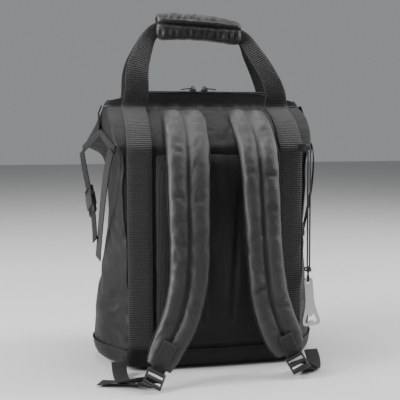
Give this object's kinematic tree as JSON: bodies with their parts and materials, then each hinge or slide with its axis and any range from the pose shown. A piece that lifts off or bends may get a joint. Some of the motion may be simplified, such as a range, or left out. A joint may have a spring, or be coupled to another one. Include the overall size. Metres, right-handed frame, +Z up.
{
  "type": "cooler backpack",
  "caption": "Soft insulated backpack with a zipped top mouth, carrying handle with padded grip, padded shoulder straps and a bottle opener on a cord.",
  "frame": {"origin": "middle of the base panel's flat underside, on the ground", "axes": "+X to the right as seen from the shoulder-strap side, +Y away from that side towards the plain front, +Z up"},
  "size_m": [0.3894, 0.3032, 0.5519],
  "materials": {
    "padded_fabric": "matt black nylon over foam",
    "coated_fabric": "coated black nylon",
    "webbing": "black woven webbing",
    "black_plastic": "moulded black plastic",
    "dark_metal": "black plated metal",
    "satin_steel": "satin",
    "cord": "braided black cord"
  },
  "bodies": {
    "pack": {"bag_shell": "padded_fabric", "base_panel": "coated_fabric", "back_pad": "padded_fabric", "mouth_zip": "webbing", "zip_slider_left": "dark_metal", "zip_slider_right": "dark_metal", "handle_webbing_back": "webbing", "handle_webbing_front": "webbing", "grip_wrap": "padded_fabric", "shoulder_strap_left": "padded_fabric", "shoulder_strap_right": "padded_fabric", "strap_tab_left": "webbing", "strap_tab_right": "webbing", "ladder_lock_left": "black_plastic", "ladder_lock_right": "black_plastic", "adjuster_webbing_left": "webbing", "adjuster_webbing_right": "webbing", "adjuster_tail_left": "webbing", "adjuster_tail_right": "webbing", "gusset_binding_left": "webbing", "gusset_binding_right": "webbing", "side_strap_back_left": "webbing", "side_strap_back_right": "webbing", "side_strap_front_left": "webbing", "side_strap_front_right": "webbing", "side_strap_lower_left": "webbing", "side_strap_lower_right": "webbing", "side_buckle_plug_left": "black_plastic", "side_buckle_plug_right": "black_plastic", "side_buckle_socket_left": "black_plastic", "side_buckle_socket_right": "black_plastic", "cord_anchor": "webbing", "opener_cord": "cord", "bottle_opener": "satin_steel", "cord_knot": "cord"},
    "pull_left": {"zip_pull_left": "dark_metal"},
    "pull_right": {"zip_pull_right": "dark_metal"}
  },
  "joints": [
    {"name": "zip_pull_left_hinge", "type": "hinge", "parent": "pack", "child": "pull_left", "pos_m": [-0.017, 0, 0.4328], "axis": [0, 1, 0], "range_deg": [0, 105]},
    {"name": "zip_pull_right_hinge", "type": "hinge", "parent": "pack", "child": "pull_right", "pos_m": [0.002, 0, 0.4328], "axis": [0, -1, 0], "range_deg": [0, 105]}
  ]
}
